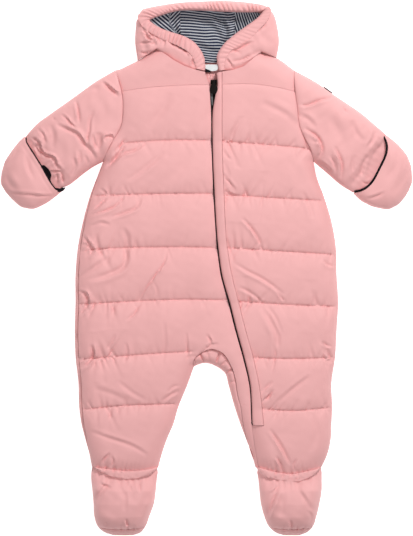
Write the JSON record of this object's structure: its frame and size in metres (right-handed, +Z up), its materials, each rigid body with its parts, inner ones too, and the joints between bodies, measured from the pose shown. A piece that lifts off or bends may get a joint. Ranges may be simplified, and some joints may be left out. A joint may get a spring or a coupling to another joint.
{
  "type": "baby snowsuit",
  "caption": "Quilted padded baby snowsuit with hood, fold-over mitts, closed feet and an off-centre zip, laid flat on its back.",
  "frame": {"origin": "on the surface it lies on, under the middle of its bounding box", "axes": "+X to the wearer's left, +Y from the feet to the hood, +Z up from the surface, through the front"},
  "size_m": [0.5496, 0.7136, 0.039],
  "materials": {
    "shell": "matt fine woven polyester, padded, pale pink",
    "lining": "matt cotton jersey, fine navy and white stripes",
    "binding": "matt black elastic and woven tape",
    "zip": "black coil zip, tapes and moulded pull",
    "label": "white woven tape, blank"
  },
  "bodies": {
    "suit": {"back": "shell", "front_right": "shell", "front_left": "shell", "yoke_right": "shell", "yoke_left": "shell", "zip_flap": "shell", "chin_guard": "shell", "sleeve_right": "shell", "sleeve_left": "shell", "mitt_right": "shell", "mitt_left": "shell", "hem_right": "shell", "hem_left": "shell", "bootie_right": "shell", "bootie_left": "shell", "sole_right": "shell", "sole_left": "shell", "hood_back": "shell", "hood_side_right": "shell", "hood_side_left": "shell", "hood_rim": "shell", "lining_right": "lining", "lining_centre": "lining", "lining_left": "lining", "binding_right": "binding", "binding_left": "binding", "sleeve_tab": "binding", "neck_tape": "binding", "zip": "zip", "zip_slider": "zip", "neck_label": "label"},
    "pull": {"pull_tab": "zip"}
  },
  "joints": [
    {"name": "pull_hinge", "type": "hinge", "parent": "suit", "child": "pull", "pos_m": [0.0096, 0.2483, 0.03], "axis": [-1, 0, 0], "range_deg": [0, 130]}
  ]
}
